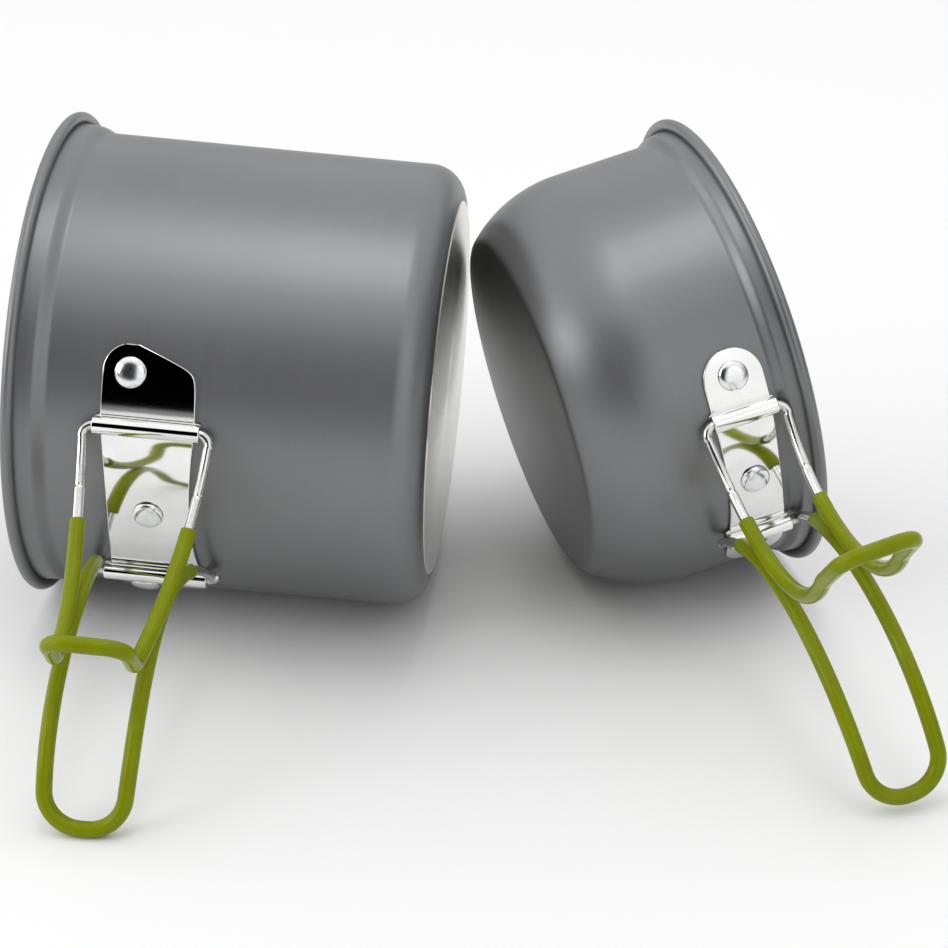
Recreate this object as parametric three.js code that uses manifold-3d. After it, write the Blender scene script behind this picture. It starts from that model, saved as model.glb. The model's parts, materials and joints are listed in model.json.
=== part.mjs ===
// Camping cookware set: a large tall pot and a small shallow pot with folding wire handles.
// Both pots lie on their sides, bases facing each other, handles unfolded.
// Units are millimetres, +Z up. Each pot is drawn standing up (+Z to its rim, +X out
// through the middle of its handle bracket) and is then laid down as a whole.
import * as THREE from "three";
import { mergeVertices } from "three/addons/utils/BufferGeometryUtils.js";
import Module from "manifold-3d";

const wasm = await Module();
wasm.setup();

// ---------------------------------------------------------------- driving dimensions
const WALL = 1.2; // wall of both pots
const FLOOR = 1.8; // thickness of both bases
const WIRE_R = 1.25; // handle wire
const SLEEVE_R = 2.05; // outside of the soft sleeve on the wire
const SLEEVE_BORE = 1.55; // inside of the sleeve
const STRIP = 0.8; // thickness of the bracket sheet
const SEAT_GAP = 0.15; // between the bracket and the widest wall under it
const WIRE_LIFT = 2.1; // from the wall to the middle of the wire in its bead
const HUMP_CLEAR = 0.3; // between the wire and the bead rolled over it
const EAR_END = 2.4; // narrowest width of the sheet at the tip of a round ear
const RIVET_HEAD_R = 4;
const RIVET_HEAD_H = 1.5;
const RIVET_BACK_R = 3.5; // the flatter head inside the pot
const RIVET_BACK_H = 0.9;
const RIVET_SHANK_R = 1.9;
const RIVET_HOLE_R = 2.1;
const RIVET_HOLE_DEPTH = 12; // long enough to pass through the wall and the sheet
const RIVET_GAP = 0.12; // between a rivet head and the sheet it holds
const CURL_MEETS_COLLAR = 1.3; // rim tube radii from the middle of the rim down to the collar
const FOOT_BEND = 3; // bend of the wire where it turns into its bead
const PIN_GAP = 2; // between the two inward-turned wire ends inside a bead

const LARGE = {
  name: "large",
  rise: 1, // which way its handle's upper side points round the pot's axis
  height: 106.45, // base to the middle of the rolled rim
  rimRadius: 66, // to the outside of the rolled rim
  rimTube: 1.6,
  collarRadius: 62.5,
  collarLow: 9.5, // how far below the rim the collar has stepped in
  collarHigh: 5.2,
  wallTop: 60.95, // outside radius just under the collar
  wallBottom: 60.4, // outside radius just above the base corner
  cornerRadius: 9.1,
  discRadius: 51.2, // machined disc on the base
  discStep: 0.3,
  bracketDrop: 35.75, // rim to the middle of the bracket
  beadAngle: 23.9, // bead to the middle of the bracket, degrees
  beadWidth: 27.6,
  plateWidth: 24.5,
  waist: 1.4, // how far each side of the middle plate curves in
  earLength: 21,
  earKind: "angled",
  earNose: 7, // radius of the round corner on the rim side
  earSlopeStart: 15, // how far from the bead the slope on the base side starts
  earTip: 3.3, // how far past the middle line the slope ends
  earRivetAngle: 36.8, // from the middle of the bracket to the ear rivets
  earRivetOffset: 5, // how far the ear rivets sit to the rim side
  handleTurn: 104.6, // from straight up to the middle of the bracket when lying down
};

const SMALL = {
  name: "small",
  rise: -1,
  height: 59.6,
  rimRadius: 64.15,
  rimTube: 1.6,
  collarRadius: 60.6,
  collarLow: 7.6,
  collarHigh: 4,
  wallTop: 58.75,
  wallBottom: 58.5,
  shoulderDrop: 32.8, // rim to the start of the big shoulder curve
  shoulderRadius: 38.4,
  baseCorner: 3, // rounding between the shoulder and the flat base
  bracketDrop: 17.2,
  beadAngle: 19,
  beadWidth: 17.9,
  plateWidth: 16.4,
  waist: 0.8,
  earLength: 17.5,
  earKind: "round",
  earRivetAngle: 29,
  earRivetOffset: 0,
  handleTurn: 98.5,
};

// A wire loop in the plane that cuts the pot across its axis. It leaves the bead at an
// angle to the bracket's outward line, bends steadily and may end in a raised bow.
const LARGE_UPPER = {
  hingeSide: 1,
  startAngle: -47.9,
  bendRadius: 62.3,
  armLength: 69.8,
  bowAngle: 45.1,
  bowBend: 5,
  bowLength: 12.1,
  spacing: [32.8, 27.6, 21.4, 19.4],
  endCorner: 5,
  sleeveStart: 25,
};

const LARGE_LOWER = {
  hingeSide: -1,
  startAngle: 61.2,
  bendRadius: -50.7,
  armLength: 108.7,
  bowAngle: 0,
  bowBend: 0,
  bowLength: 0,
  spacing: [32.8, 22.2, 21.1, 18.8],
  endCorner: 9.2,
  sleeveStart: 21,
};

const SMALL_UPPER = {
  hingeSide: 1,
  startAngle: -55.6,
  bendRadius: 42.7,
  armLength: 87.5,
  bowAngle: -10.7,
  bowBend: 5,
  bowLength: 18.5,
  spacing: [22.7, 20.2, 20.7, 18.6],
  endCorner: 6,
  sleeveStart: 27,
};

const SMALL_LOWER = {
  hingeSide: -1,
  startAngle: 45.7,
  bendRadius: -55.4,
  armLength: 108.7,
  bowAngle: 0,
  bowBend: 0,
  bowLength: 0,
  spacing: [22.7, 20.2, 20.0, 18.6],
  endCorner: 9.2,
  sleeveStart: 19,
};

// Where each pot lies: the middle of its rim, the way its axis turns and tips.
const LARGE_PLACE = { side: -1, yaw: 5.86, tilt: 3.22, rimX: -112.76, rimY: -8.73 };
const SMALL_PLACE = { side: 1, yaw: 16.56, tilt: 12.2, rimX: 71.15, rimY: 1.03 };

// A rivet head's outline as shares of its radius and of its height.
const DOME = [[1, 0], [0.93, 0.5], [0.6, 0.88], [0, 1]];

// ---------------------------------------------------------------- mesh detail
const POT_SEGMENTS = 56;
const HOLE_SIDES = 12;
const RIVET_SEGMENTS = 14;
const WIRE_SIDES = 8;
const ARM_STEPS = 14;

const toRadians = THREE.MathUtils.degToRad;
const toDegrees = THREE.MathUtils.radToDeg;

// ---------------------------------------------------------------- materials
function finish(colour, roughness, metalness) {
  return new THREE.MeshStandardMaterial({ color: colour, roughness, metalness });
}

const anodised = () => finish(0x5c5f62, 0.5, 0.6);
const polishedSteel = () => finish(0xd4d5d6, 0.12, 1);
const wireSteel = () => finish(0xc8c9ca, 0.2, 1);
const softSleeve = () => finish(0x93a51a, 0.35, 0);

// ---------------------------------------------------------------- shape helpers
function toManifold(geometry) {
  const bare = new THREE.BufferGeometry();
  bare.setAttribute("position", geometry.getAttribute("position").clone());
  if (geometry.index) bare.setIndex(geometry.index.clone());
  const merged = mergeVertices(bare, 1e-4);
  const mesh = new wasm.Mesh({
    numProp: 3,
    vertProperties: new Float32Array(merged.getAttribute("position").array),
    triVerts: new Uint32Array(merged.index.array),
  });
  return new wasm.Manifold(mesh);
}

function fromManifold(solid) {
  const mesh = solid.getMesh();
  const geometry = new THREE.BufferGeometry();
  geometry.setAttribute("position", new THREE.BufferAttribute(new Float32Array(mesh.vertProperties), 3));
  geometry.setIndex(new THREE.BufferAttribute(new Uint32Array(mesh.triVerts), 1));
  return geometry;
}

function namedMesh(name, geometry, material) {
  const flat = geometry.index ? geometry.toNonIndexed() : geometry;
  flat.computeVertexNormals();
  const mesh = new THREE.Mesh(flat, material);
  mesh.name = name;
  return mesh;
}

// Points along an arc in a plane, both ends included. Angles in degrees.
function arcPoints(centreA, centreB, radius, from, to, steps) {
  const points = [];
  for (let i = 0; i <= steps; i += 1) {
    const angle = toRadians(from + ((to - from) * i) / steps);
    points.push([centreA + radius * Math.cos(angle), centreB + radius * Math.sin(angle)]);
  }
  return points;
}

// Spins a closed outline of [radius, height] pairs about the Z axis.
function spin(outline, segments) {
  const points = outline.map(([radius, height]) => new THREE.Vector2(Math.max(radius, 0), height));
  const geometry = new THREE.LatheGeometry(points, segments);
  geometry.rotateX(Math.PI / 2);
  return geometry;
}

// Joins rings of equal point count into one closed skin. Each end is closed by a fan
// when the rings are solid, or by a collar between the outer and inner rings.
function skin(rings, capped) {
  const count = rings[0].length;
  const positions = rings.flat().flatMap((point) => [point.x, point.y, point.z]);
  const indices = [];
  for (let ring = 0; ring + 1 < rings.length; ring += 1) {
    for (let k = 0; k < count; k += 1) {
      const a = ring * count + k;
      const b = ring * count + ((k + 1) % count);
      indices.push(a, b, a + count, b, b + count, a + count);
    }
  }
  if (capped) {
    const last = (rings.length - 1) * count;
    for (let k = 1; k + 1 < count; k += 1) {
      indices.push(0, k + 1, k);
      indices.push(last, last + k, last + k + 1);
    }
  }
  const geometry = new THREE.BufferGeometry();
  geometry.setAttribute("position", new THREE.Float32BufferAttribute(positions, 3));
  geometry.setIndex(indices);
  return geometry;
}

// Cross-section directions carried along a path without twisting.
function carriedFrames(path) {
  const frames = [];
  let normal = null;
  for (let i = 0; i < path.length; i += 1) {
    const before = path[Math.max(i - 1, 0)];
    const after = path[Math.min(i + 1, path.length - 1)];
    const tangent = new THREE.Vector3().subVectors(after, before).normalize();
    if (normal === null) {
      const helper = Math.abs(tangent.z) < 0.9 ? new THREE.Vector3(0, 0, 1) : new THREE.Vector3(1, 0, 0);
      normal = new THREE.Vector3().crossVectors(tangent, helper).normalize();
    } else {
      normal = normal.clone().addScaledVector(tangent, -normal.dot(tangent)).normalize();
    }
    frames.push({ normal, binormal: new THREE.Vector3().crossVectors(tangent, normal) });
  }
  return frames;
}

function ringAt(centre, frame, radius, sides) {
  const ring = [];
  for (let k = 0; k < sides; k += 1) {
    const angle = (2 * Math.PI * k) / sides;
    const point = centre.clone();
    point.addScaledVector(frame.normal, radius * Math.cos(angle));
    point.addScaledVector(frame.binormal, radius * Math.sin(angle));
    ring.push(point);
  }
  return ring;
}

function solidWire(path, frames, radius) {
  return skin(path.map((point, i) => ringAt(point, frames[i], radius, WIRE_SIDES)), true);
}

// A sleeve over part of a wire path: out along the outside, back along the bore.
function hollowSleeve(path, frames, first, last) {
  const outer = [];
  const inner = [];
  for (let i = first; i <= last; i += 1) {
    outer.push(ringAt(path[i], frames[i], SLEEVE_R, WIRE_SIDES));
    inner.push(ringAt(path[i], frames[i], SLEEVE_BORE, WIRE_SIDES));
  }
  return skin([...outer, ...inner.reverse(), outer[0]], false);
}

// Turns a closed skin the right way out.
function facingOut(geometry) {
  const position = geometry.getAttribute("position");
  const index = geometry.index.array;
  const corner = (i) => new THREE.Vector3().fromBufferAttribute(position, index[i]);
  let volume = 0;
  for (let i = 0; i < index.length; i += 3) {
    volume += corner(i).dot(corner(i + 1).cross(corner(i + 2)));
  }
  if (volume < 0) geometry.setIndex(Array.from(index).reverse());
  return geometry;
}

// ---------------------------------------------------------------- the pots
// The curl of the rim, filled solid, from its underside over the top to the inside.
function rolledRim(pot) {
  const centre = pot.rimRadius - pot.rimTube;
  const curlStart = -62;
  return arcPoints(centre, pot.height, pot.rimTube, curlStart, 180, 10);
}

// The soft step from the wall out to the collar, and the collar up to the curl.
function wallBelowRim(pot) {
  const low = pot.height - pot.collarLow;
  const high = pot.height - pot.collarHigh;
  const middle = (low + high) / 2;
  const half = (pot.collarRadius + pot.wallTop) / 2;
  return [
    [pot.wallTop, low],
    [half, middle],
    [pot.collarRadius, high],
    [pot.collarRadius, pot.height - pot.rimTube * CURL_MEETS_COLLAR],
  ];
}

// A flat base with a raised disc step, a round corner and a nearly straight wall.
function largeOutline(pot) {
  const corner = pot.cornerRadius;
  const outside = [
    [0, 0],
    [pot.discRadius - pot.discStep, 0],
    [pot.discRadius, pot.discStep],
    ...arcPoints(pot.wallBottom - corner, corner, corner, -90, 0, 8).map(([r, z]) => [r, z + pot.discStep]),
    ...wallBelowRim(pot),
  ];
  const innerCorner = corner - WALL;
  const inside = [
    [pot.collarRadius - WALL, pot.height - pot.collarHigh],
    [pot.wallTop - WALL, pot.height - pot.collarLow],
    ...arcPoints(pot.wallBottom - corner, FLOOR + innerCorner, innerCorner, 0, -90, 6),
    [0, FLOOR],
  ];
  return [...outside, ...rolledRim(pot), ...inside];
}

// A flat base with a small rounding, then one big shoulder curve up to the wall.
function smallOutline(pot) {
  const shoulderZ = pot.height - pot.shoulderDrop;
  const shoulderX = pot.wallBottom - pot.shoulderRadius;
  const cornerReach = pot.shoulderRadius - pot.baseCorner;
  const cornerDrop = shoulderZ - pot.baseCorner;
  const cornerX = shoulderX + Math.sqrt(cornerReach ** 2 - cornerDrop ** 2);
  const meet = -toDegrees(Math.asin(cornerDrop / cornerReach));
  const inner = pot.shoulderRadius - WALL;
  const innerEnd = -toDegrees(Math.asin((shoulderZ - FLOOR) / inner));
  const outside = [
    [0, 0],
    ...arcPoints(cornerX, pot.baseCorner, pot.baseCorner, -90, meet, 3),
    ...arcPoints(shoulderX, shoulderZ, pot.shoulderRadius, meet, 0, 8).slice(1),
    ...wallBelowRim(pot),
  ];
  const inside = [
    [pot.collarRadius - WALL, pot.height - pot.collarHigh],
    [pot.wallTop - WALL, pot.height - pot.collarLow],
    ...arcPoints(shoulderX, shoulderZ, inner, 0, innerEnd, 7),
    [0, FLOOR],
  ];
  return [...outside, ...rolledRim(pot), ...inside];
}

// ---------------------------------------------------------------- bracket and rivets
function wallRadiusAt(pot, z) {
  const top = pot.height - pot.collarLow;
  const foot = pot.shoulderDrop ? pot.height - pot.shoulderDrop : pot.cornerRadius;
  const share = THREE.MathUtils.clamp((z - foot) / (top - foot), 0, 1);
  return pot.wallBottom + (pot.wallTop - pot.wallBottom) * share;
}

function seatRadius(pot) {
  return wallRadiusAt(pot, pot.height) + SEAT_GAP;
}

function hingeRadius(pot) {
  return wallRadiusAt(pot, pot.height) + WIRE_LIFT;
}

// Middle line of the bracket sheet as [radius, angle] from one ear to the other: flat on
// the wall, over the wire in a round bead, and flat again.
function bracketLine(pot) {
  const flat = seatRadius(pot) + STRIP / 2;
  const hinge = hingeRadius(pot);
  const hump = WIRE_R + HUMP_CLEAR + STRIP / 2;
  const drop = hinge - flat;
  const foot = toDegrees(Math.asin(drop / hump));
  const line = [];
  const flatRun = (from, to, steps) => {
    for (let i = 0; i <= steps; i += 1) line.push([flat, from + ((to - from) * i) / steps]);
  };
  const bead = (angle) => {
    for (const [along, up] of arcPoints(0, 0, hump, 180 + foot, -foot, 10)) {
      line.push([hinge + up, angle + toDegrees(along / hinge)]);
    }
  };
  const footEase = 0.5;
  const footWidth = toDegrees((hump * Math.cos(toRadians(foot)) + footEase) / hinge);
  const ear = toDegrees(pot.earLength / flat);
  flatRun(-pot.beadAngle - ear, -pot.beadAngle - footWidth, 12);
  bead(-pot.beadAngle);
  flatRun(-pot.beadAngle + footWidth, pot.beadAngle - footWidth, 12);
  bead(pot.beadAngle);
  flatRun(pot.beadAngle + footWidth, pot.beadAngle + ear, 12);
  return line;
}

// How far the sheet reaches to the base side and to the rim side at each angle.
function bracketReach(pot, angle) {
  const half = pot.plateWidth / 2;
  const flat = seatRadius(pot);
  const fromBead = (Math.abs(angle) - pot.beadAngle) * toRadians(1) * flat;
  const beadHalf = WIRE_R + HUMP_CLEAR + STRIP;
  if (Math.abs(fromBead) <= beadHalf) return [pot.beadWidth / 2, pot.beadWidth / 2];
  if (fromBead < 0) {
    const share = angle / pot.beadAngle;
    const side = half - pot.waist * (1 - share * share);
    return [side, side];
  }
  if (pot.earKind === "round") {
    const straight = pot.earLength - half;
    const past = Math.min(Math.max(fromBead - straight, 0) / half, 1);
    const side = Math.max(half * Math.sqrt(1 - past * past), EAR_END / 2);
    return [side, side];
  }
  // The angled ear: a straight slope on the base side and a round corner on the rim side.
  const nose = pot.earNose;
  const past = Math.min(Math.max(fromBead - (pot.earLength - nose), 0) / nose, 1);
  const rimSide = half - nose + nose * Math.sqrt(1 - past * past);
  const slope = Math.max(fromBead - pot.earSlopeStart, 0) / (pot.earLength - pot.earSlopeStart);
  const baseSide = half - slope * (half + pot.earTip);
  return [baseSide, rimSide];
}

function bracketSheet(pot) {
  const middle = pot.height - pot.bracketDrop;
  const line = bracketLine(pot);
  const spots = line.map(([radius, angle]) => {
    const turn = toRadians(angle);
    return new THREE.Vector2(radius * Math.cos(turn), radius * Math.sin(turn));
  });
  const rings = line.map(([, angle], i) => {
    const before = spots[Math.max(i - 1, 0)];
    const after = spots[Math.min(i + 1, spots.length - 1)];
    const along = new THREE.Vector2().subVectors(after, before).normalize();
    const outward = new THREE.Vector2(along.y, -along.x).multiplyScalar(STRIP / 2);
    const outer = spots[i].clone().add(outward);
    const inner = spots[i].clone().sub(outward);
    const [baseSide, rimSide] = bracketReach(pot, angle);
    const low = middle - baseSide;
    const high = middle + rimSide;
    return [
      new THREE.Vector3(inner.x, inner.y, low),
      new THREE.Vector3(outer.x, outer.y, low),
      new THREE.Vector3(outer.x, outer.y, high),
      new THREE.Vector3(inner.x, inner.y, high),
    ];
  });
  return facingOut(skin(rings, true));
}

function rivetSpots(pot) {
  const middle = pot.height - pot.bracketDrop;
  const earHeight = middle + pot.earRivetOffset;
  return [
    { place: "upper", angle: pot.earRivetAngle, z: earHeight },
    { place: "middle", angle: 0, z: middle },
    { place: "lower", angle: -pot.earRivetAngle, z: earHeight },
  ];
}

// A round bar along X, turned about the pot's axis to a rivet's place.
function rivetHole(pot, spot) {
  const bar = new THREE.CylinderGeometry(RIVET_HOLE_R, RIVET_HOLE_R, RIVET_HOLE_DEPTH, HOLE_SIDES);
  bar.rotateZ(-Math.PI / 2);
  bar.translate(wallRadiusAt(pot, spot.z), 0, spot.z);
  bar.rotateZ(toRadians(spot.angle));
  return toManifold(bar);
}

function drilled(pot, geometry) {
  let solid = toManifold(geometry);
  for (const spot of rivetSpots(pot)) {
    solid = solid.subtract(rivetHole(pot, spot));
  }
  return fromManifold(solid);
}

// A domed head outside, a shank through the sheet and the wall, a flatter head inside.
function rivet(pot, spot) {
  const sheetTop = seatRadius(pot) + STRIP + RIVET_GAP;
  const wallInside = wallRadiusAt(pot, spot.z) - WALL - RIVET_GAP * 2;
  const dome = (radius, height, from, share) => [radius * share[0], from + height * share[1]];
  const outline = [
    ...[...DOME].reverse().map((share) => dome(RIVET_BACK_R, -RIVET_BACK_H, wallInside, share)),
    [RIVET_SHANK_R, wallInside],
    [RIVET_SHANK_R, sheetTop],
    ...DOME.map((share) => dome(RIVET_HEAD_R, RIVET_HEAD_H, sheetTop, share)),
  ];
  const geometry = spin(outline, RIVET_SEGMENTS);
  geometry.rotateY(Math.PI / 2);
  geometry.translate(0, 0, spot.z);
  geometry.rotateZ(toRadians(spot.angle));
  return facingOut(geometry);
}

// ---------------------------------------------------------------- wire loops
// Follows a line that starts at an angle and bends at a steady rate per piece.
function followBends(start, startAngle, pieces, distance) {
  const spot = { out: start.out, rise: start.rise, angle: toRadians(startAngle) };
  let left = distance;
  for (const { length, bend } of pieces) {
    const run = Math.min(left, length);
    const turn = run * bend;
    const chord = Math.abs(turn) < 1e-9 ? run : (2 * Math.sin(turn / 2)) / bend;
    spot.out += chord * Math.cos(spot.angle + turn / 2);
    spot.rise += chord * Math.sin(spot.angle + turn / 2);
    spot.angle += turn;
    left -= run;
  }
  return spot;
}

function loopPieces(loop) {
  const pieces = [{ length: loop.armLength, bend: 1 / loop.bendRadius }];
  if (loop.bowLength > 0) {
    const turn = toRadians(loop.bowAngle);
    pieces.push({ length: Math.abs(turn) * loop.bowBend, bend: Math.sign(turn) / loop.bowBend });
    pieces.push({ length: loop.bowLength, bend: 0 });
  }
  return pieces;
}

// Smooth curve through four evenly spaced values.
function throughFour(values, share) {
  const x = share * 3;
  let sum = 0;
  for (let i = 0; i < 4; i += 1) {
    let weight = 1;
    for (let j = 0; j < 4; j += 1) {
      if (j !== i) weight *= (x - j) / (i - j);
    }
    sum += values[i] * weight;
  }
  return sum;
}

// One half of a loop as [distance along the arm, half of the spacing] pairs: the foot in
// the bead, the bend out of it, the arm, and the rounded corner into the end bar.
function halfLoop(loop, total) {
  const half = (distance) => throughFour(loop.spacing, distance / total) / 2;
  const footHalf = half(0) - FOOT_BEND;
  const pairs = [[0, PIN_GAP / 2]];
  for (let i = 0; i <= 3; i += 1) {
    const turn = (Math.PI / 2) * (i / 3);
    pairs.push([FOOT_BEND * (1 - Math.cos(turn)), footHalf + FOOT_BEND * Math.sin(turn)]);
  }
  const corner = loop.endCorner;
  const armEnd = total - corner;
  for (let i = 1; i <= ARM_STEPS; i += 1) {
    const distance = FOOT_BEND + ((armEnd - FOOT_BEND) * i) / ARM_STEPS;
    pairs.push([distance, half(distance)]);
  }
  const endHalf = half(armEnd) - corner;
  for (let i = 1; i <= 4; i += 1) {
    const turn = (Math.PI / 2) * (i / 4);
    pairs.push([armEnd + corner * Math.sin(turn), endHalf + corner * Math.cos(turn)]);
  }
  return pairs;
}

// Middle line of a whole loop, from one foot round to the other.
function loopPath(pot, loop, rise) {
  const hinge = hingeRadius(pot);
  const bead = toRadians(pot.beadAngle);
  const start = { out: hinge * Math.cos(bead), rise: loop.hingeSide * hinge * Math.sin(bead) };
  const pieces = loopPieces(loop);
  const total = pieces.reduce((sum, piece) => sum + piece.length, 0);
  const middle = pot.height - pot.bracketDrop;
  const half = halfLoop(loop, total);
  const toPoint = ([distance, offset], side) => {
    const spot = followBends(start, loop.startAngle, pieces, distance);
    return new THREE.Vector3(spot.out, rise * spot.rise, middle + side * offset);
  };
  const first = half.map((pair) => toPoint(pair, 1));
  const second = half.map((pair) => toPoint(pair, -1)).reverse();
  const sleeveFrom = half.findIndex(([distance]) => distance >= loop.sleeveStart);
  const path = [...first, ...second];
  return { path, sleeveFrom, sleeveTo: path.length - 1 - sleeveFrom };
}

function wireAndSleeve(pot, loop, rise) {
  const { path, sleeveFrom, sleeveTo } = loopPath(pot, loop, rise);
  const frames = carriedFrames(path);
  return {
    wire: facingOut(solidWire(path, frames, WIRE_R)),
    sleeve: facingOut(hollowSleeve(path, frames, sleeveFrom, sleeveTo)),
  };
}

// ---------------------------------------------------------------- assembly
function buildPot(pot, outline, upperLoop, lowerLoop) {
  const { rise } = pot;
  const group = new THREE.Group();
  const shell = drilled(pot, facingOut(spin(outline, POT_SEGMENTS)));
  group.add(namedMesh(`${pot.name}_pot_shell`, shell, anodised()));
  group.add(namedMesh(`${pot.name}_handle_bracket`, drilled(pot, bracketSheet(pot)), polishedSteel()));
  for (const spot of rivetSpots(pot)) {
    const name = `${pot.name}_rivet_${spot.place}`;
    group.add(namedMesh(name, rivet(pot, { ...spot, angle: rise * spot.angle }), polishedSteel()));
  }
  for (const [place, loop] of [["upper", upperLoop], ["lower", lowerLoop]]) {
    const { wire, sleeve } = wireAndSleeve(pot, loop, rise);
    group.add(namedMesh(`${pot.name}_${place}_wire`, wire, wireSteel()));
    group.add(namedMesh(`${pot.name}_${place}_sleeve`, sleeve, softSleeve()));
  }
  return group;
}

// Lays a pot on its side with its lowest point on the floor.
function layDown(group, pot, place) {
  const yaw = toRadians(place.yaw);
  const tilt = toRadians(place.tilt);
  const toRim = new THREE.Vector3(
    place.side * Math.cos(yaw) * Math.cos(tilt),
    Math.sin(yaw) * Math.cos(tilt),
    Math.sin(tilt),
  );
  const up = new THREE.Vector3(0, 0, 1).addScaledVector(toRim, -toRim.z).normalize();
  const forward = new THREE.Vector3().crossVectors(up, toRim).multiplyScalar(place.side * -1).normalize();
  const turn = toRadians(pot.handleTurn);
  const out = new THREE.Vector3().addScaledVector(up, Math.cos(turn)).addScaledVector(forward, Math.sin(turn));
  const third = new THREE.Vector3().crossVectors(toRim, out);
  group.quaternion.setFromRotationMatrix(new THREE.Matrix4().makeBasis(out, third, toRim));
  const rimOffset = toRim.clone().multiplyScalar(pot.height);
  group.position.set(place.rimX - rimOffset.x, place.rimY - rimOffset.y, 0);
  group.updateMatrixWorld(true);
  group.position.z = -new THREE.Box3().setFromObject(group, true).min.z;
  return group;
}

function buildSet() {
  const set = new THREE.Group();
  const large = buildPot(LARGE, largeOutline(LARGE), LARGE_UPPER, LARGE_LOWER);
  const small = buildPot(SMALL, smallOutline(SMALL), SMALL_UPPER, SMALL_LOWER);
  set.add(layDown(large, LARGE, LARGE_PLACE));
  set.add(layDown(small, SMALL, SMALL_PLACE));
  set.updateMatrixWorld(true);
  const box = new THREE.Box3().setFromObject(set, true);
  set.position.set(-(box.min.x + box.max.x) / 2, -(box.min.y + box.max.y) / 2, -box.min.z);
  return set;
}

export default buildSet();
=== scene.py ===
import json
import math

import bmesh
import bpy
from mathutils import Matrix, Vector


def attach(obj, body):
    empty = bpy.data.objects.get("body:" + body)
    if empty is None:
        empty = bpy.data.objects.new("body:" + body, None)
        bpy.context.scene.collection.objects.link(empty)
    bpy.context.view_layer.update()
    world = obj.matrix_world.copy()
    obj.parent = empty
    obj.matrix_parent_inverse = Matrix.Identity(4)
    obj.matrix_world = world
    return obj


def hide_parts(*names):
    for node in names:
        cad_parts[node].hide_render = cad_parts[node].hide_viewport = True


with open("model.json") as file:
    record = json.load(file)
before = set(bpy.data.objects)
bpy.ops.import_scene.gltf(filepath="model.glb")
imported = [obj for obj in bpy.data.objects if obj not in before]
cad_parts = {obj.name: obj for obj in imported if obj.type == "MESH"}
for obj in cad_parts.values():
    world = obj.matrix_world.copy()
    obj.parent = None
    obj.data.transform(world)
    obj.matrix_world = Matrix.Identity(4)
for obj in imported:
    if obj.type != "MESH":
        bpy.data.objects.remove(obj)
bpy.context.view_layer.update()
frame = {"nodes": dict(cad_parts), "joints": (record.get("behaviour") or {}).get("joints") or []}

MM = 0.001

# The pots' sheet.
WALL = 1.2 * MM
FLOOR = 1.8 * MM
CURL_END = 170
FURTHEST_MEET = 150

# The brackets: gaps, the foot of a bead and the narrow end of a round ear.
SHEET = 0.8 * MM
SHEET_GAP = 0.15 * MM
SHEET_EDGE = 0.24 * MM
BEAD_CLEAR = 0.3 * MM
BEAD_FOOT = 0.5 * MM
EAR_CORNER = 1.6 * MM
EAR_TIP_HALF = 0.6 * MM

# The rivets: a domed head outside, a shank and a flatter head inside the pot.
RIVET_HEAD_R = 4.0 * MM
RIVET_HEAD_H = 1.5 * MM
RIVET_EDGE = 0.25 * MM
RIVET_GAP = 0.12 * MM
RIVET_SHANK_R = 1.9 * MM
RIVET_BACK_R = 3.5 * MM
RIVET_BACK_EDGE = 0.3 * MM
RIVET_BACK_DOME = 0.6 * MM

# The wires and sleeves. The wire is a touch thicker from WIRE_GRIP millimetres before its
# sleeve, behind a groove.
WIRE_R = 1.25 * MM
WIRE_LIFT = 2.1 * MM
WIRE_GRIP = 9
GRIP_STEP = 0.1 * MM
GROOVE = 0.8 * MM
PIN_GAP = 2.0 * MM
FOOT_BEND = 3 * MM
FOOT_TAPER = 0.15 * MM
SLEEVE_R = 2.05 * MM
SLEEVE_LIP = 0.22 * MM
BORE_CLEAR = 0.25 * MM

# How finely round shapes are cut, and how near two points have to be to be one.
POT_SEGMENTS = 256
RIVET_SEGMENTS = 48
TUBE_SIDES = 28
ARM_STEPS = 260
MERGE = 0.001 * MM

FLOOR_HALF = 6.0

# The camera and the lights. The camera stands off from the middle of the large pot's base.
EYE_FROM_BASE = Vector((0.0071, -0.6705, 0.3152))
EYE_DOWN = math.radians(27)
LENS = 102.7
SENSOR = 36
WORLD_POWER = 1.12
TOP_POWER = 1.2
FILL_POWER = 3.6
WHITE_SEEN = 0.95
WHITE_CARD = 0.75
LEFT_CARD = 1.4


# ------------------------------------------------------------------ where things are
def joint(name):
    return next(j for j in frame["joints"] if j["name"] == name)


def middle_of(points, direction):
    """Half way between the furthest points of a shape each way along a direction."""
    reach = [p.dot(direction) for p in points]
    return (min(reach) + max(reach)) / 2


def pot_frame(pot, mouth):
    """The pot's own axes: from its base to its mouth, and out through its bracket."""
    hinge = joint(pot + "_upper_handle_hinge")
    upper = Vector(hinge["pos_m"])
    lower = Vector(joint(pot + "_lower_handle_hinge")["pos_m"])
    to_rim = Vector(hinge["axis"]).normalized()
    if to_rim.x * mouth < 0:
        to_rim.negate()
    shell = [v.co for v in frame["nodes"][pot + "_pot_shell"].data.vertices]
    across = (upper - lower).normalized()
    third = to_rim.cross(across)
    base = min(p.dot(to_rim) for p in shell)
    origin = to_rim * base + across * middle_of(shell, across) + third * middle_of(shell, third)
    middle = (upper + lower) / 2 - origin
    out = (middle - to_rim * middle.dot(to_rim)).normalized()
    axes = Matrix((out, to_rim.cross(out), to_rim)).transposed().to_4x4()
    axes.translation = origin
    return axes


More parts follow.
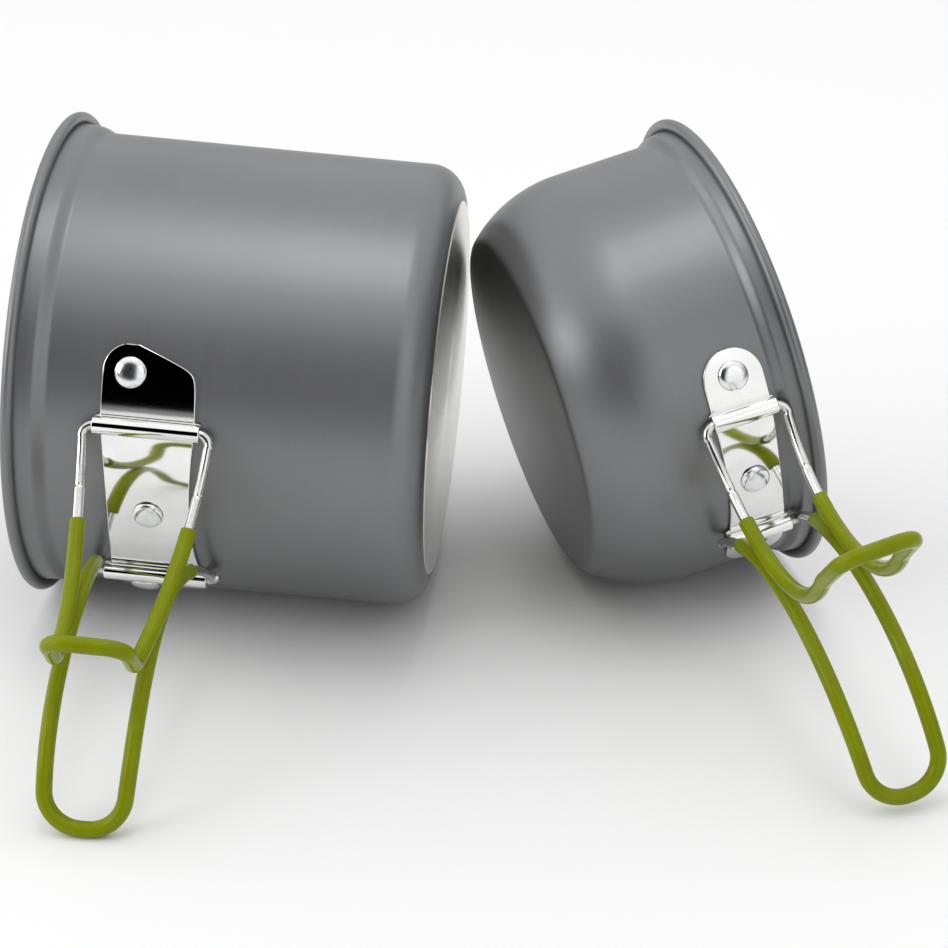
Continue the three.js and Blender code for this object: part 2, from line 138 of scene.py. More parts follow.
class Pot:
    """Sizes that both pots have, and the places that the frame gives."""

    def __init__(self, name, mouth, **sizes):
        self.name = name
        self.axes = pot_frame(name, mouth)
        hinge = self.axes.inverted() @ Vector(joint(name + "_upper_handle_hinge")["pos_m"])
        self.rise = math.copysign(1, hinge.y)
        self.hinge_radius = math.hypot(hinge.x, hinge.y)
        self.bead_angle = math.atan2(abs(hinge.y), hinge.x)
        self.bracket_height = hinge.z
        self.wall_top = self.hinge_radius - WIRE_LIFT
        shell = frame["nodes"][name + "_pot_shell"].data.vertices
        local = [self.axes.inverted() @ v.co for v in shell]
        self.rim_radius = max(math.hypot(p.x, p.y) for p in local)
        self.top = max(p.z for p in local)
        for key, value in sizes.items():
            setattr(self, key, value)
        self.height = self.top - self.rim_tube


LARGE = Pot(
    "large",
    mouth=-1,
    rim_tube=1.6 * MM,
    collar_radius=62.5 * MM,
    collar_low=9.5 * MM,
    collar_high=5.2 * MM,
    wall_bottom=60.4 * MM,
    corner_radius=9.1 * MM,
    disc_radius=51.2 * MM,
    disc_step=0.3 * MM,
    bead_width=27.6 * MM,
    plate_width=24.5 * MM,
    waist=1.4 * MM,
    ear_length=21 * MM,
    ear_kind="angled",
    ear_nose=7 * MM,
    ear_slope_start=15 * MM,
    ear_tip=3.3 * MM,
    ear_rivet_angle=math.radians(36.8),
    ear_rivet_offset=5 * MM,
)

SMALL = Pot(
    "small",
    mouth=1,
    rim_tube=1.6 * MM,
    collar_radius=60.6 * MM,
    collar_low=7.6 * MM,
    collar_high=4 * MM,
    wall_bottom=58.5 * MM,
    shoulder_drop=32.8 * MM,
    shoulder_radius=38.4 * MM,
    base_corner=3 * MM,
    bead_width=17.9 * MM,
    plate_width=16.4 * MM,
    waist=0.8 * MM,
    ear_length=17.5 * MM,
    ear_kind="round",
    ear_rivet_angle=math.radians(29),
    ear_rivet_offset=0,
)

# The wire loops: the angle at which each leaves its bead, the steady bend of its arms, the
# raised bow at its end, and the spacing of its arms at four even steps along them.
LOOPS = {
    ("large", "upper"): dict(
        side=1, start=-47.9, bend=62.3, arm=69.8, bow=45.1, bow_bend=5, bow_length=12.1,
        spacing=(32.8, 27.6, 21.4, 19.4), corner=5, sleeve=25,
    ),
    ("large", "lower"): dict(
        side=-1, start=61.2, bend=-50.7, arm=108.7, bow=0, bow_bend=0, bow_length=0,
        spacing=(32.8, 22.2, 21.1, 18.8), corner=9.2, sleeve=21,
    ),
    ("small", "upper"): dict(
        side=1, start=-55.6, bend=42.7, arm=87.5, bow=-10.7, bow_bend=5, bow_length=18.5,
        spacing=(22.7, 20.2, 20.7, 18.6), corner=6, sleeve=27,
    ),
    ("small", "lower"): dict(
        side=-1, start=45.7, bend=-55.4, arm=108.7, bow=0, bow_bend=0, bow_length=0,
        spacing=(22.7, 20.2, 20.0, 18.6), corner=9.2, sleeve=19,
    ),
}


# ------------------------------------------------------------------ node helpers
class Nodes:
    """Short calls that add and join the nodes of one tree."""

    def __init__(self, tree):
        self.tree = tree

    def add(self, kind, **settings):
        node = self.tree.nodes.new(kind)
        for key, value in settings.items():
            if hasattr(node, key):
                setattr(node, key, value)
            else:
                node.inputs[key.replace("_", " ").title()].default_value = value
        return node

    def join(self, output, target):
        self.tree.links.new(output, target)

    def place(self, scale=(1, 1, 1)):
        coords = self.add("ShaderNodeAttribute", attribute_name="pot_place")
        mapping = self.add("ShaderNodeMapping")
        mapping.inputs["Scale"].default_value = scale
        self.join(coords.outputs["Vector"], mapping.inputs["Vector"])
        return mapping.outputs["Vector"]

    def noise(self, where, scale, detail=4.0, rough=0.55):
        node = self.add("ShaderNodeTexNoise")
        node.inputs["Scale"].default_value = scale
        node.inputs["Detail"].default_value = detail
        node.inputs["Roughness"].default_value = rough
        self.join(where, node.inputs["Vector"])
        return node.outputs["Fac"]

    def math(self, operation, first, second=None):
        node = self.add("ShaderNodeMath", operation=operation)
        for slot, value in ((0, first), (1, second)):
            if value is None:
                continue
            if isinstance(value, (int, float)):
                node.inputs[slot].default_value = value
            else:
                self.join(value, node.inputs[slot])
        return node.outputs[0]

    def spread(self, factor, low, high):
        node = self.add("ShaderNodeMapRange")
        node.inputs["To Min"].default_value = low
        node.inputs["To Max"].default_value = high
        self.join(factor, node.inputs["Value"])
        return node.outputs["Result"]

    def ramp(self, factor, stops):
        node = self.add("ShaderNodeValToRGB")
        bar = node.color_ramp.elements
        while len(bar) < len(stops):
            bar.new(0.5)
        for element, (place, colour) in zip(bar, stops):
            element.position = place
            element.color = (*colour, 1)
        self.join(factor, node.inputs["Fac"])
        return node.outputs["Color"]

    def bump(self, height, strength, distance, after=None):
        node = self.add("ShaderNodeBump")
        node.inputs["Strength"].default_value = strength
        node.inputs["Distance"].default_value = distance
        self.join(height, node.inputs["Height"])
        if after is not None:
            self.join(after, node.inputs["Normal"])
        return node.outputs["Normal"]


class Look(Nodes):
    """A material and its nodes, with its shader's inputs at hand."""

    def __init__(self, name):
        self.material = bpy.data.materials.new(name)
        self.material.use_nodes = True
        super().__init__(self.material.node_tree)
        self.shader = self.tree.nodes["Principled BSDF"]

    def set(self, **values):
        for key, value in values.items():
            self.shader.inputs[key.replace("_", " ")].default_value = value


# ------------------------------------------------------------------ materials
def anodised_grey():
    """Hard-anodised aluminium: a matt grey oxide with faint spinning marks and fine grain."""
    m = Look("anodised_grey")
    where = m.place()
    stretched = m.place((1, 1, 30))
    clouds = m.noise(where, 28, 3)
    grain = m.noise(where, 2600, 2)
    marks = m.noise(stretched, 60, 5, 0.65)
    tone = m.math("ADD", m.math("MULTIPLY", clouds, 0.6), m.math("MULTIPLY", marks, 0.4))
    colour = m.ramp(tone, [(0.3, (0.192, 0.195, 0.201)), (0.7, (0.216, 0.219, 0.226))])
    m.join(colour, m.shader.inputs["Base Color"])
    m.join(m.spread(marks, 0.34, 0.44), m.shader.inputs["Roughness"])
    fine = m.bump(grain, 0.10, 0.02 * MM)
    m.join(m.bump(marks, 0.10, 0.05 * MM, fine), m.shader.inputs["Normal"])
    m.set(Metallic=0.8)
    return m.material


def turned_aluminium():
    """Bare aluminium faced on a lathe, with fine rings about the pot's axis."""
    m = Look("turned_aluminium")
    where = m.place((1, 1, 0))
    rings = m.add("ShaderNodeTexWave", wave_type="RINGS", rings_direction="Z")
    rings.inputs["Scale"].default_value = 900
    rings.inputs["Distortion"].default_value = 0.6
    rings.inputs["Detail"].default_value = 3
    m.join(where, rings.inputs["Vector"])
    clouds = m.noise(where, 60, 4)
    colour = m.ramp(clouds, [(0.3, (0.66, 0.645, 0.60)), (0.7, (0.74, 0.725, 0.68))])
    m.join(colour, m.shader.inputs["Base Color"])
    m.join(m.spread(rings.outputs["Fac"], 0.14, 0.22), m.shader.inputs["Roughness"])
    m.join(m.bump(rings.outputs["Fac"], 0.35, 0.03 * MM), m.shader.inputs["Normal"])
    m.set(Metallic=1.0, Anisotropic=0.4)
    return m.material


def mirror_steel():
    """Polished stainless sheet with hairline scratches and a slight waviness."""
    m = Look("mirror_steel")
    where = m.place()
    waves = m.noise(where, 90, 2)
    hairs = m.noise(m.place((40, 1, 1)), 700, 4, 0.7)
    smears = m.noise(where, 180, 4)
    colour = m.ramp(smears, [(0.3, (0.80, 0.80, 0.79)), (0.7, (0.87, 0.87, 0.86))])
    m.join(colour, m.shader.inputs["Base Color"])
    m.join(m.spread(hairs, 0.04, 0.09), m.shader.inputs["Roughness"])
    soft = m.bump(waves, 0.12, 0.12 * MM)
    m.join(m.bump(hairs, 0.04, 0.01 * MM, soft), m.shader.inputs["Normal"])
    m.set(Metallic=1.0)
    return m.material


def satin_steel():
    """Stainless rivet heads, pressed and tumbled, so duller than the sheet."""
    m = Look("satin_steel")
    where = m.place()
    dents = m.noise(where, 500, 3)
    colour = m.ramp(dents, [(0.3, (0.74, 0.75, 0.76)), (0.7, (0.84, 0.85, 0.86))])
    m.join(colour, m.shader.inputs["Base Color"])
    m.join(m.spread(dents, 0.15, 0.24), m.shader.inputs["Roughness"])
    m.join(m.bump(dents, 0.08, 0.03 * MM), m.shader.inputs["Normal"])
    m.set(Metallic=1.0)
    return m.material


def drawn_wire():
    """Bright drawn stainless wire with faint drawing marks."""
    m = Look("drawn_wire")
    where = m.place()
    marks = m.noise(where, 900, 4, 0.7)
    colour = m.ramp(marks, [(0.3, (0.60, 0.595, 0.58)), (0.7, (0.72, 0.715, 0.70))])
    m.join(colour, m.shader.inputs["Base Color"])
    m.join(m.spread(marks, 0.10, 0.24), m.shader.inputs["Roughness"])
    m.join(m.bump(marks, 0.08, 0.02 * MM), m.shader.inputs["Normal"])
    m.set(Metallic=1.0)
    return m.material


def green_sleeve():
    """Glossy soft PVC in olive green, a little uneven where it was dipped."""
    m = Look("green_sleeve")
    where = m.place()
    clouds = m.noise(where, 120, 3)
    dips = m.noise(where, 380, 2)
    colour = m.ramp(clouds, [(0.3, (0.172, 0.208, 0.0005)), (0.7, (0.205, 0.246, 0.0010))])
    m.join(colour, m.shader.inputs["Base Color"])
    m.join(m.spread(dips, 0.12, 0.20), m.shader.inputs["Roughness"])
    m.join(m.bump(dips, 0.14, 0.08 * MM), m.shader.inputs["Normal"])
    m.set(Subsurface_Weight=0.05, Subsurface_Scale=1.5 * MM, Specular_IOR_Level=0.13)
    m.shader.inputs["Subsurface Radius"].default_value = (0.9, 1.0, 0.2)
    return m.material


# ------------------------------------------------------------------ mesh helpers
def make_piece(name, points, faces, axes, materials, sharp=40, pick=None):
    """A mesh drawn in a pot's frame, smooth but for edges sharper than the given angle.

    Its materials follow pot_place, where each point is in the pot's own frame.
    """
    mesh = bpy.data.meshes.new(name)
    mesh.from_pydata([tuple(p) for p in points], [], faces)
    for material in materials:
        mesh.materials.append(material)
    model = bmesh.new()
    model.from_mesh(mesh)
    bmesh.ops.remove_doubles(model, verts=model.verts, dist=MERGE)
    bmesh.ops.recalc_face_normals(model, faces=model.faces)
    for face in model.faces:
        face.smooth = True
        if pick is not None:
            face.material_index = pick(face.calc_center_median())
    for edge in model.edges:
        if len(edge.link_faces) == 2:
            edge.smooth = edge.calc_face_angle(0) < math.radians(sharp)
    model.to_mesh(mesh)
    model.free()
    places = mesh.attributes.new("pot_place", "FLOAT_VECTOR", "POINT")
    for place, vertex in zip(places.data, mesh.vertices):
        place.vector = vertex.co
    mesh.transform(axes)
    piece = bpy.data.objects.new(name, mesh)
    bpy.context.scene.collection.objects.link(piece)
    return piece


def arc(centre_a, centre_b, radius, start, end, steps):
    """Points of an arc, both ends included, angles in degrees."""
    points = []
    for i in range(steps + 1):
        angle = math.radians(start + (end - start) * i / steps)
        points.append((centre_a + radius * math.cos(angle), centre_b + radius * math.sin(angle)))
    return points


def spin(outline, segments):
    """Spins an outline of (radius, height) about Z. Points on the axis become poles."""
    points, faces, rows = [], [], []
    for radius, height in outline:
        if radius < 1e-9:
            rows.append([len(points)])
            points.append(Vector((0, 0, height)))
            continue
        rows.append(list(range(len(points), len(points) + segments)))
        for k in range(segments):
            turn = 2 * math.pi * k / segments
            points.append(Vector((radius * math.cos(turn), radius * math.sin(turn), height)))
    for low, high in zip(rows, rows[1:]):
        for k in range(segments):
            n = (k + 1) % segments
            corners = [low[k % len(low)], low[n % len(low)], high[n % len(high)], high[k % len(high)]]
            faces.append(tuple(dict.fromkeys(corners)))
    return points, faces


def loft(rings, closed=False):
    """Joins rings of equal count, with flat ends or round to the first ring again."""
    count = len(rings[0])
    points = [p for ring in rings for p in ring]
    faces = []
    last = len(rings) if closed else len(rings) - 1
    for r in range(last):
        nxt = (r + 1) % len(rings)
        for k in range(count):
            n = (k + 1) % count
            faces.append((r * count + k, r * count + n, nxt * count + n, nxt * count + k))
    if not closed:
        faces.append(tuple(range(count)))
        faces.append(tuple((len(rings) - 1) * count + k for k in range(count)))
    return points, faces


def carried_frames(path):
    """Cross-section directions carried along a path without twisting."""
    frames = []
    normal = None
    for i, _ in enumerate(path):
        tangent = (path[min(i + 1, len(path) - 1)] - path[max(i - 1, 0)]).normalized()
        if normal is None:
            helper = Vector((0, 0, 1)) if abs(tangent.z) < 0.9 else Vector((1, 0, 0))
            normal = tangent.cross(helper).normalized()
        else:
            normal = (normal - tangent * normal.dot(tangent)).normalized()
        frames.append((normal, tangent.cross(normal)))
    return frames


def ring_at(centre, directions, radius):
    normal, binormal = directions
    ring = []
    for k in range(TUBE_SIDES):
        turn = 2 * math.pi * k / TUBE_SIDES
        ring.append(centre + normal * (radius * math.cos(turn)) + binormal * (radius * math.sin(turn)))
    return ring


# ------------------------------------------------------------------ pots
def wall_radius(pot, height):
    foot = pot.height - pot.shoulder_drop if hasattr(pot, "shoulder_drop") else pot.corner_radius
    top = pot.height - pot.collar_low
    share = min(max((height - foot) / (top - foot), 0), 1)
    return pot.wall_bottom + (pot.wall_top - pot.wall_bottom) * share


def collar(pot):
    """The soft step from the wall out to the collar under the rim."""
    low = pot.height - pot.collar_low
    high = pot.height - pot.collar_high
    points = []
    steps = 12
    for i in range(steps + 1):
        share = i / steps
        ease = share * share * (3 - 2 * share)
        radius = pot.wall_top + (pot.collar_radius - pot.wall_top) * ease
        points.append((radius, low + (high - low) * share))
    return points


def rim_curl(pot):
    """The rim rolled outward until its edge meets the wall again."""
    centre = pot.rim_radius - pot.rim_tube
    furthest = math.cos(math.radians(FURTHEST_MEET))
    meet = math.degrees(math.acos(max((pot.collar_radius - centre) / pot.rim_tube, furthest)))
    return arc(centre, pot.height, pot.rim_tube, -meet, CURL_END, 40)


def inner_collar(pot):
    return [(radius - WALL, height) for radius, height in reversed(collar(pot))]


def large_outline(pot):
    corner = pot.corner_radius
    disc = [(pot.disc_radius * i / 8, 0) for i in range(8)]
    outside = [
        *disc,
        (pot.disc_radius - pot.disc_step, 0),
        (pot.disc_radius, pot.disc_step),
        *arc(pot.wall_bottom - corner, corner + pot.disc_step, corner, -90, 0, 18),
        *collar(pot),
    ]
    inner = corner - WALL
    inside = [
        *inner_collar(pot),
        *arc(pot.wall_bottom - corner, FLOOR + inner, inner, 0, -90, 14),
        (0, FLOOR),
    ]
    return [*outside, *rim_curl(pot), *inside]


def small_outline(pot):
    start = pot.height - pot.shoulder_drop
    centre = pot.wall_bottom - pot.shoulder_radius
    reach = pot.shoulder_radius - pot.base_corner
    drop = start - pot.base_corner
    corner = centre + math.sqrt(reach ** 2 - drop ** 2)
    meet = math.degrees(math.asin(drop / reach))
    inner = pot.shoulder_radius - WALL
    inner_reach = math.degrees(math.asin((start - FLOOR) / inner))
    outside = [
        *[(corner * i / 8, 0) for i in range(8)],
        *arc(corner, pot.base_corner, pot.base_corner, -90, -meet, 8),
        *arc(centre, start, pot.shoulder_radius, -meet, 0, 30)[1:],
        *collar(pot),
    ]
    inside = [
        *inner_collar(pot),
        *arc(centre, start, inner, 0, -inner_reach, 24),
        (0, FLOOR),
    ]
    return [*outside, *rim_curl(pot), *inside]


def make_shell(pot, outline, looks, pick=None):
    points, faces = spin(outline, POT_SEGMENTS)
    name = pot.name + "_pot"
    shell = make_piece(name, points, faces, pot.axes, looks, sharp=30, pick=pick)
    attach(shell, pot.name + "_pot")
    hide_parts(pot.name + "_pot_shell")
    return shell


# ------------------------------------------------------------------ brackets and rivets
def bracket_line(pot):
    """Middle line of the sheet as (radius, angle, kind of stretch), from ear to ear."""
    flat = pot.wall_top + SHEET_GAP + SHEET / 2
    hump = WIRE_R + BEAD_CLEAR + SHEET / 2
    foot = math.asin((pot.hinge_radius - flat) / hump)
    foot_angle = (hump * math.cos(foot) + BEAD_FOOT) / pot.hinge_radius
    ear = pot.ear_length / flat
    line = []

    def run(start, end, steps):
        for i in range(steps + 1):
            share = 0.5 - 0.5 * math.cos(math.pi * i / steps)
            line.append((flat, start + (end - start) * share))

    def bead(angle):
        turn = math.degrees(foot)
        for along, up in arc(0, 0, hump, 180 + turn, -turn, 28):
            line.append((pot.hinge_radius + up, angle + along / pot.hinge_radius))

    run(-pot.bead_angle - ear, -pot.bead_angle - foot_angle, 40)
    bead(-pot.bead_angle)
    run(-pot.bead_angle + foot_angle, pot.bead_angle - foot_angle, 36)
    bead(pot.bead_angle)
    run(pot.bead_angle + foot_angle, pot.bead_angle + ear, 40)
    return line


def bracket_reach(pot, angle):
    """How far the sheet reaches towards the base and towards the rim."""
    half = pot.plate_width / 2
    past_bead = (abs(angle) - pot.bead_angle) * (pot.wall_top + SHEET_GAP)
    if abs(past_bead) <= WIRE_R + BEAD_CLEAR + SHEET:
        return pot.bead_width / 2, pot.bead_width / 2
    if past_bead < 0:
        share = angle / pot.bead_angle
        side = half - pot.waist * (1 - share * share)
        return side, side
    if pot.ear_kind == "round":
        past = min(max(past_bead - (pot.ear_length - half), 0) / half, 1)
        side = max(half * math.sqrt(1 - past * past), EAR_TIP_HALF)
        return side, side
    nose = pot.ear_nose
    slope_start = pot.ear_slope_start
    past = min(max(past_bead - (pot.ear_length - nose), 0) / nose, 1)
    rim_side = half - nose + nose * math.sqrt(1 - past * past)
    past_slope = past_bead - slope_start
    past_slope = (past_slope + math.hypot(past_slope, EAR_CORNER)) / 2
    slope = past_slope / (pot.ear_length - slope_start)
    return half - slope * (half + pot.ear_tip), rim_side


def make_bracket(pot, look):
    line = bracket_line(pot)
    spots = [Vector((r * math.cos(a), r * math.sin(a), 0)) for r, a in line]
    rings = []
    for i, (_, angle) in enumerate(line):
        along = (spots[min(i + 1, len(spots) - 1)] - spots[max(i - 1, 0)]).normalized()
        out = Vector((along.y, -along.x, 0)) * (SHEET / 2)
        base_side, rim_side = bracket_reach(pot, angle)
        low = Vector((0, 0, pot.bracket_height - base_side))
        high = Vector((0, 0, pot.bracket_height + rim_side))
        inner, outer = spots[i] - out, spots[i] + out
        rings.append([inner + low, outer + low, outer + high, inner + high])
    points, faces = loft(rings)
    bracket = make_piece(pot.name + "_bracket", points, faces, pot.axes, [look], sharp=35)
    bevel = bracket.modifiers.new("edge", "BEVEL")
    bevel.width = SHEET_EDGE
    bevel.segments = 3
    bevel.angle_limit = math.radians(50)
    bevel.use_clamp_overlap = False
    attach(bracket, pot.name + "_pot")
    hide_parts(pot.name + "_handle_bracket")
    return bracket


def rivet_outline(pot):
    """Domed head over the sheet, shank through the wall, flatter head inside."""
    sheet_top = pot.wall_top + SHEET_GAP + SHEET + RIVET_GAP
    wall_inside = wall_radius(pot, pot.bracket_height) - WALL - 2 * RIVET_GAP
    head = []
    steps = 16
    for i in range(steps + 1):
        turn = math.pi / 2 * i / steps
        height = sheet_top + RIVET_EDGE + (RIVET_HEAD_H - RIVET_EDGE) * math.sin(turn)
        head.append((RIVET_HEAD_R * math.cos(turn) ** 0.9, height))
    head[-1] = (0, sheet_top + RIVET_HEAD_H)
    back = []
    for i in range(steps + 1):
        turn = math.pi / 2 * i / steps
        height = wall_inside - RIVET_BACK_EDGE - RIVET_BACK_DOME * math.cos(turn)
        back.append((RIVET_BACK_R * math.sin(turn), height))
    return [
        *back,
        (RIVET_BACK_R, wall_inside),
        (RIVET_SHANK_R, wall_inside),
        (RIVET_SHANK_R, sheet_top),
        (RIVET_HEAD_R, sheet_top),
        *head,
    ]


def make_rivet(pot, place, angle, height, look):
    points, faces = spin(rivet_outline(pot), RIVET_SEGMENTS)
    stand = Matrix.Rotation(angle, 4, "Z") @ Matrix.Translation((0, 0, height))
    stand = stand @ Matrix.Rotation(math.pi / 2, 4, "Y")
    points = [stand @ p for p in points]
    rivet = make_piece(f"{pot.name}_rivet_{place}_look", points, faces, pot.axes, [look], sharp=35)
    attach(rivet, pot.name + "_pot")
    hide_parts(f"{pot.name}_rivet_{place}")
    return rivet


# ------------------------------------------------------------------ wire loops
def follow_bends(start, angle, pieces, distance):
    """Where a line is after a distance, when it bends at a steady rate in each piece."""
    out, rise = start
    left = distance
    for length, bend in pieces:
        run = min(left, length)
        turn = run * bend
        chord = run if abs(turn) < 1e-9 else 2 * math.sin(turn / 2) / bend
        out += chord * math.cos(angle + turn / 2)
        rise += chord * math.sin(angle + turn / 2)
        angle += turn
        left -= run
    return out, rise


def loop_pieces(loop):
    pieces = [(loop["arm"] * MM, 1 / (loop["bend"] * MM))]
    if loop["bow_length"]:
        turn = math.radians(loop["bow"])
        radius = loop["bow_bend"] * MM
        pieces.append((abs(turn) * radius, math.copysign(1 / radius, turn)))
        pieces.append((loop["bow_length"] * MM, 0))
    return pieces


def through_four(values, share):
    """Smooth curve through four evenly spaced values."""
    x = share * 3
    total = 0
    for i, value in enumerate(values):
        weight = 1
        for j in range(4):
            if j != i:
                weight *= (x - j) / (i - j)
        total += value * weight
    return total


def half_loop(loop, total):
    """(distance along the arm, half of the spacing) from the foot in the bead to the end bar."""
    foot = FOOT_BEND
    corner = loop["corner"] * MM

    def half(distance):
        return through_four(loop["spacing"], distance / total) * MM / 2

    foot_half = half(0) - foot
    pairs = [(0, PIN_GAP / 2 + (foot_half - PIN_GAP / 2) * i / 8) for i in range(8)]
    for i in range(11):
        turn = math.pi / 2 * i / 10
        pairs.append((foot * (1 - math.cos(turn)), foot_half + foot * math.sin(turn)))
    arm_end = total - corner
    for i in range(1, ARM_STEPS + 1):
        distance = foot + (arm_end - foot) * i / ARM_STEPS
        pairs.append((distance, half(distance)))
    end_half = half(arm_end) - corner
    for i in range(1, 17):
        turn = math.pi / 2 * i / 16
        pairs.append((arm_end + corner * math.sin(turn), end_half + corner * math.cos(turn)))
    pairs.extend((total, end_half * (1 - i / 6)) for i in range(1, 6))
    return pairs


def loop_path(pot, loop):
    """Middle line of a loop and, for each point, how far along its arm it is."""
    start = (
        pot.hinge_radius * math.cos(pot.bead_angle),
        loop["side"] * pot.hinge_radius * math.sin(pot.bead_angle),
    )
    pieces = loop_pieces(loop)
    total = sum(length for length, _ in pieces)
    half = half_loop(loop, total)
    angle = math.radians(loop["start"])

    def point(pair, side):
        out, rise = follow_bends(start, angle, pieces, pair[0])
        return Vector((out, pot.rise * rise, pot.bracket_height + side * pair[1]))

    path = [point(pair, 1) for pair in half] + [point(pair, -1) for pair in reversed(half)]
    along = [pair[0] for pair in half]
    return path, along + along[::-1]


def make_wire(pot, place, loop, look):
    """The whole wire, a touch thicker on the stretch that the sleeve grips."""
    path, along = loop_path(pot, loop)
    directions = carried_frames(path)
    grip_start = (loop["sleeve"] - WIRE_GRIP) * MM
    start_out = (path[0] - path[1]).normalized() * FOOT_TAPER
    end_out = (path[-1] - path[-2]).normalized() * FOOT_TAPER
    rings = [ring_at(path[0] + start_out, directions[0], WIRE_R * 0.7)]
    for centre, axes, distance in zip(path, directions, along):
        radius = WIRE_R + (GRIP_STEP if distance > grip_start else 0)
        if abs(distance - grip_start) < GROOVE / 2:
            radius = WIRE_R - GRIP_STEP
        rings.append(ring_at(centre, axes, radius))
    rings.append(ring_at(path[-1] + end_out, directions[-1], WIRE_R * 0.7))
    points, faces = loft(rings)
    wire = make_piece(f"{pot.name}_{place}_bare_wire", points, faces, pot.axes, [look], sharp=40)
    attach(wire, f"{pot.name}_{place}_handle")
    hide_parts(f"{pot.name}_{place}_wire")
    return wire


def make_sleeve(pot, place, loop, look):
    """The soft sleeve, with a rounded lip at each cut end and a bore round the wire."""
    path, along = loop_path(pot, loop)
    directions = carried_frames(path)
    inside = [i for i, distance in enumerate(along) if distance >= loop["sleeve"] * MM]
    first, last = inside[0], inside[-1]
    bore = WIRE_R + BORE_CLEAR
    lip = SLEEVE_LIP
    outer = []
    for i in range(first, last + 1):
        outer.append(ring_at(path[i], directions[i], SLEEVE_R))
    start_out = (path[first] - path[first + 1]).normalized()
    end_out = (path[last] - path[last - 1]).normalized()

    def rounded(centre, axes, out):
        rings = []
        for i in range(5):
            turn = math.pi / 2 * i / 4
            radius = SLEEVE_R - lip + lip * math.cos(turn)
            rings.append(ring_at(centre + out * (lip * math.sin(turn)), axes, radius))
        rings.append(ring_at(centre + out * lip, axes, bore))
        return rings

    head = rounded(path[first], directions[first], start_out)[::-1]
    tail = rounded(path[last], directions[last], end_out)
    bore_rings = [ring_at(path[i], directions[i], bore) for i in range(last, first - 1, -3)]
    rings = head[:-1] + outer + tail[1:] + bore_rings
    points, faces = loft(rings, closed=True)
    sleeve = make_piece(f"{pot.name}_{place}_grip", points, faces, pot.axes, [look], sharp=50)
    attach(sleeve, f"{pot.name}_{place}_handle")
    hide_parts(f"{pot.name}_{place}_sleeve")
    return sleeve


# ------------------------------------------------------------------ assembly
def dress_pot(pot, outline, looks, pick=None):
    make_shell(pot, outline, looks, pick)
    make_bracket(pot, sheet)
    ear_height = pot.bracket_height + pot.ear_rivet_offset
    make_rivet(pot, "upper", pot.rise * pot.ear_rivet_angle, ear_height, heads)
    make_rivet(pot, "middle", 0, pot.bracket_height, heads)
    make_rivet(pot, "lower", -pot.rise * pot.ear_rivet_angle, ear_height, heads)
    for place in ("upper", "lower"):
        loop = LOOPS[pot.name, place]
        make_wire(pot, place, loop, wire)
        make_sleeve(pot, place, loop, sleeve)


def is_bare_disc(centre):
    bare = LARGE.disc_radius - 0.5 * LARGE.disc_step
    return int(math.hypot(centre.x, centre.y) < bare and centre.z < FLOOR / 2)


grey = anodised_grey()
sheet = mirror_steel()
heads = satin_steel()
wire = drawn_wire()
sleeve = green_sleeve()
dress_pot(LARGE, large_outline(LARGE), [grey, turned_aluminium()], is_bare_disc)
dress_pot(SMALL, small_outline(SMALL), [grey])


# ------------------------------------------------------------------ studio
def floor():
    """A plain pale floor."""
    half = FLOOR_HALF
    corners = [(-half, -half, 0), (half, -half, 0), (half, half, 0), (-half, half, 0)]
    mesh = bpy.data.meshes.new("floor")
    mesh.from_pydata(corners, [], [(0, 1, 2, 3)])
    m = Look("floor_white")
    m.set(Base_Color=(0.87, 0.87, 0.87, 1), Roughness=0.9)
    mesh.materials.append(m.material)
    plane = bpy.data.objects.new("floor", mesh)
    bpy.context.scene.collection.objects.link(plane)


def area_light(name, place, target, size, power):
    data = bpy.data.lights.new(name, "AREA")
    data.shape = "RECTANGLE"
    data.size, data.size_y = size
    data.energy = power
    lamp = bpy.data.objects.new(name, data)
    lamp.location = place
    lamp.rotation_mode = "QUATERNION"
    lamp.rotation_quaternion = (Vector(target) - Vector(place)).to_track_quat("-Z", "Y")
    bpy.context.scene.collection.objects.link(lamp)


def towards(n, direction, target, inner, outer):
    """1 where a direction lies within the inner angle of a target, 0 beyond the outer one."""
    dot = n.add("ShaderNodeVectorMath", operation="DOT_PRODUCT")
    n.join(direction, dot.inputs[0])
    dot.inputs[1].default_value = Vector(target).normalized()
    patch = n.add("ShaderNodeMapRange", interpolation_type="SMOOTHSTEP")
    patch.inputs["From Min"].default_value = math.cos(math.radians(outer))
    patch.inputs["From Max"].default_value = math.cos(math.radians(inner))
    n.join(dot.outputs["Value"], patch.inputs["Value"])
    return patch.outputs["Result"]


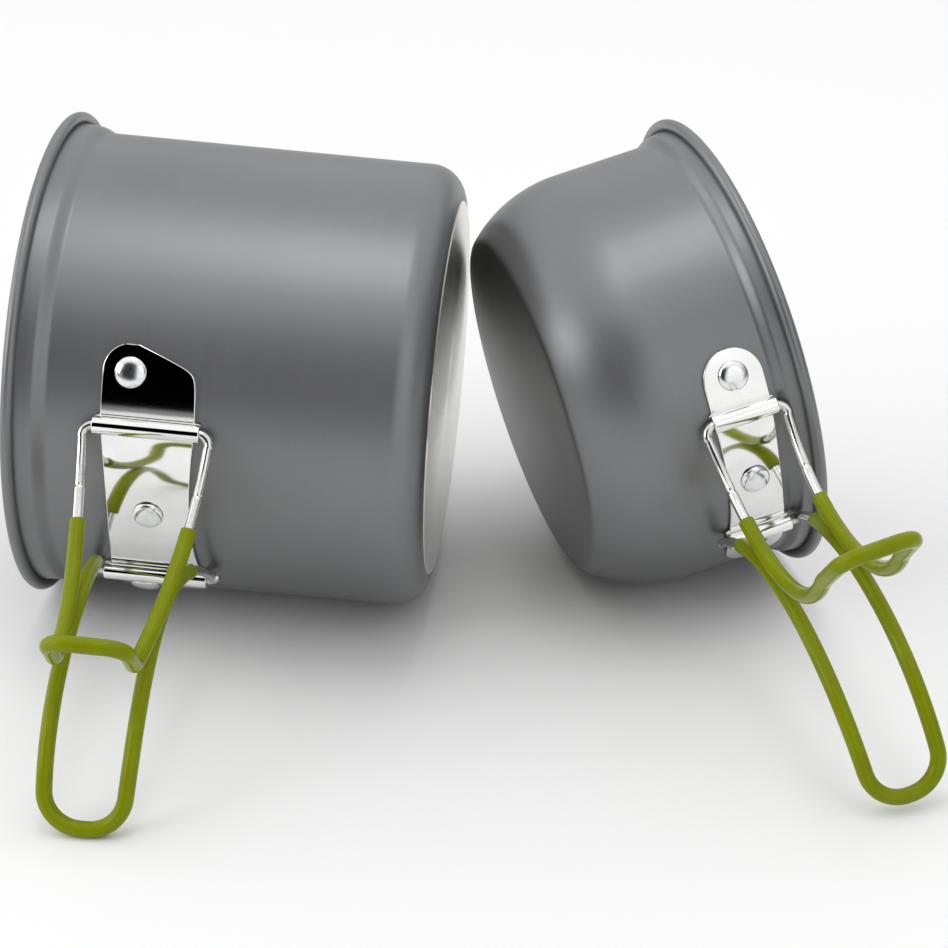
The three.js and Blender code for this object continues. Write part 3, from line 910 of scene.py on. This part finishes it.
def studio_world():
    """White overhead and dim round the horizon, with a black card for the large ear to
    reflect and white cards at the left and at the right. The camera itself sees plain white."""
    world = bpy.data.worlds.new("studio")
    world.use_nodes = True
    n = Nodes(world.node_tree)
    direction = n.add("ShaderNodeTexCoord").outputs["Generated"]
    height = n.add("ShaderNodeVectorMath", operation="DOT_PRODUCT")
    n.join(direction, height.inputs[0])
    height.inputs[1].default_value = (0, 0.30, 0.95)
    room = n.ramp(height.outputs["Value"], [
        (0.0, (0.20, 0.20, 0.20)),
        (0.30, (0.40, 0.40, 0.41)),
        (0.62, (1.0, 1.0, 1.0)),
    ])
    black_card = towards(n, direction, (-0.26, -0.87, 0.42), 22, 24)
    white_card = towards(n, direction, (0.47, -0.84, 0.26), 24, 32)
    left_card = towards(n, direction, (-1, 0.1, 0.12), 18, 36)
    dimmed = n.math("MULTIPLY", room, n.math("SUBTRACT", 1.0, black_card))
    white = n.math("ADD", n.math("MULTIPLY", white_card, WHITE_CARD), n.math("MULTIPLY", left_card, LEFT_CARD))
    lit = n.math("ADD", dimmed, white)
    seen = n.add("ShaderNodeMix", data_type="FLOAT")
    n.join(n.add("ShaderNodeLightPath").outputs["Is Camera Ray"], seen.inputs["Factor"])
    n.join(lit, seen.inputs["A"])
    seen.inputs["B"].default_value = WHITE_SEEN
    background = world.node_tree.nodes["Background"]
    n.join(seen.outputs["Result"], background.inputs["Color"])
    background.inputs["Strength"].default_value = WORLD_POWER
    bpy.context.scene.world = world


def studio():
    studio_world()
    area_light("top", (-0.01, -0.06, 1.1), (0, 0, 0.06), (0.24, 0.5), TOP_POWER)
    area_light("fill", (-1.15, -0.7, 0.65), (-0.05, 0, 0.06), (0.55, 0.55), FILL_POWER)
    bpy.context.scene.view_settings.view_transform = "Standard"


def camera():
    """Looks along +Y and down, from in front of the handles."""
    data = bpy.data.cameras.new("camera")
    data.sensor_width = SENSOR
    data.lens = LENS
    data.clip_start = 0.05
    eye = bpy.data.objects.new("camera", data)
    eye.location = LARGE.axes.translation + EYE_FROM_BASE
    eye.rotation_euler = (math.pi / 2 - EYE_DOWN, 0, 0)
    bpy.context.scene.collection.objects.link(eye)
    bpy.context.scene.camera = eye


floor()
studio()
camera()
